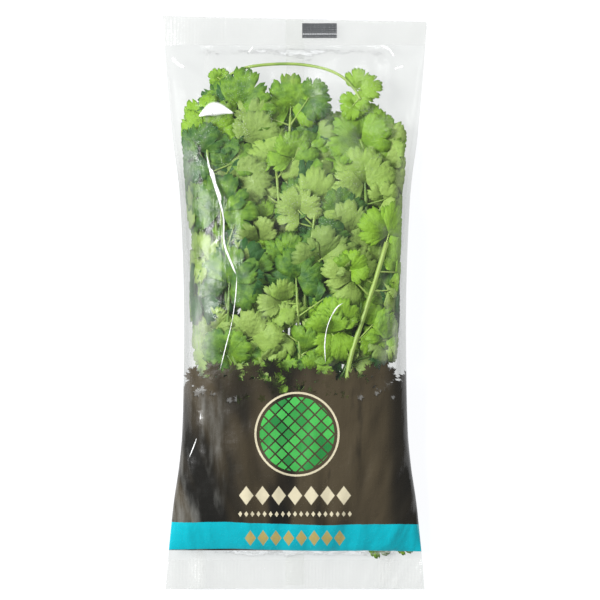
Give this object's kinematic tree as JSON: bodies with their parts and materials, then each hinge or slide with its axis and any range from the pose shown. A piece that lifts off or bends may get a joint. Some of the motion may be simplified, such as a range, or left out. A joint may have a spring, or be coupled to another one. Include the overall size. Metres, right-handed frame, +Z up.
{
  "type": "packed coriander bunch",
  "caption": "Bunch of fresh coriander, leafy stems side by side, in a clear pillow bag with crimped end seals, lying on its back.",
  "frame": {"origin": "on the surface that the bag lies on, under the middle of its outline", "axes": "+Y along the bag towards its top seal and the leaves' tips, +X to the right as seen from above, +Z up out of the surface"},
  "size_m": [0.1708, 0.37, 0.0456],
  "materials": {
    "film_clear": "clear glossy film, crinkled, printed dark brown with a turquoise band on its lower third",
    "leaf_fresh": "soft satin leaf, mid green with paler veins",
    "leaf_bright": "soft satin leaf and stem, yellowish green",
    "leaf_deep": "soft satin leaf, deep green"
  },
  "bodies": {
    "root": {"bag_film": "film_clear", "loose_leaflet_1": "leaf_bright", "loose_leaflet_2": "leaf_bright", "sprig_back_left_1": "leaf_deep", "sprig_back_left_2": "leaf_deep", "sprig_back_left_3": "leaf_deep", "sprig_back_middle_1": "leaf_deep", "sprig_back_middle_2": "leaf_deep", "sprig_back_middle_3": "leaf_deep", "sprig_back_right_1": "leaf_deep", "sprig_back_right_2": "leaf_deep", "sprig_back_right_3": "leaf_deep", "sprig_core": "leaf_deep", "sprig_front_left_1": "leaf_fresh", "sprig_front_left_2": "leaf_fresh", "sprig_front_left_3": "leaf_fresh", "sprig_front_left_4": "leaf_fresh", "sprig_front_middle_1": "leaf_fresh", "sprig_front_middle_2": "leaf_fresh", "sprig_front_middle_3": "leaf_fresh", "sprig_front_middle_4": "leaf_fresh", "sprig_front_right_1": "leaf_fresh", "sprig_front_right_2": "leaf_fresh", "sprig_front_right_3": "leaf_fresh", "sprig_front_right_4": "leaf_fresh", "sprig_loop": "leaf_bright"}
  },
  "joints": []
}
